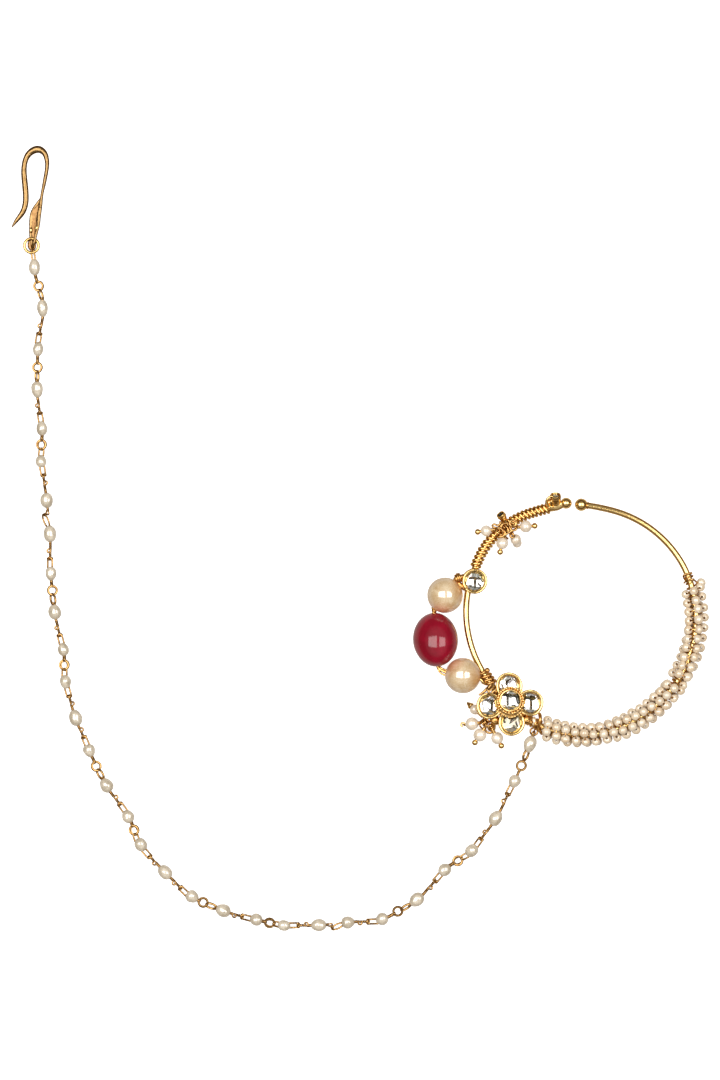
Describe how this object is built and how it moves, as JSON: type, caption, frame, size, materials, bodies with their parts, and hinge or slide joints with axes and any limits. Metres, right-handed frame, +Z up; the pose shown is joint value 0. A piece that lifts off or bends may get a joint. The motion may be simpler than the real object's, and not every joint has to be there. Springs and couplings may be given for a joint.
{
  "type": "nose ring",
  "caption": "Large wire nose ring with beads, a pearl sleeve, a stone flower and small drops, and a fine beaded support chain that ends in a hair hook.",
  "frame": {"origin": "on the surface the piece lies on, under the middle of its bounding box", "axes": "+Z up from the surface, +Y from the chain's low bend towards the hook's bend, +X from the hook towards the hoop"},
  "size_m": [0.1327, 0.1496, 0.0085],
  "materials": {
    "gold": "highly polished gold plate, duller on the hammered hook",
    "cream_pearl": "cream imitation pearl with a soft lustre",
    "champagne_pearl": "champagne imitation pearl with a pinkish lustre",
    "ruby": "polished, deep red, slightly translucent",
    "clear_stone": "clear flat-topped cut stone over a dark foil"
  },
  "bodies": {
    "root": {"bead_wire": "gold", "chain": "cream_pearl", "chain_eye": "gold", "chain_loop": "gold", "coil_wrap": "gold", "drop_pearl_l1": "cream_pearl", "drop_pearl_l2": "cream_pearl", "drop_pearl_l3": "cream_pearl", "drop_pearl_l4": "cream_pearl", "drop_pearl_u1": "cream_pearl", "drop_pearl_u2": "cream_pearl", "drop_pearl_u3": "cream_pearl", "drop_pearl_u4": "cream_pearl", "drop_pearl_u5": "cream_pearl", "drop_pin_l1": "gold", "drop_pin_l2": "gold", "drop_pin_l3": "gold", "drop_pin_l4": "gold", "drop_pin_u1": "gold", "drop_pin_u2": "gold", "drop_pin_u3": "gold", "drop_pin_u4": "gold", "end_stone": "clear_stone", "flower_setting": "gold", "hair_hook": "gold", "hook_ring": "gold", "hoop_wire": "gold", "lower_ring": "gold", "pearl_lower": "champagne_pearl", "pearl_sleeve": "cream_pearl", "pearl_upper": "champagne_pearl", "round_bezel": "gold", "round_stone": "clear_stone", "ruby_bead": "ruby", "side_bezel": "gold", "side_stone": "clear_stone", "sleeve_end_wrap": "gold", "sleeve_start_wrap": "gold", "stone_bottom": "clear_stone", "stone_centre": "clear_stone", "stone_left": "clear_stone", "stone_right": "clear_stone", "stone_top": "clear_stone", "upper_hanger": "gold", "upper_ring": "gold"}
  },
  "joints": []
}
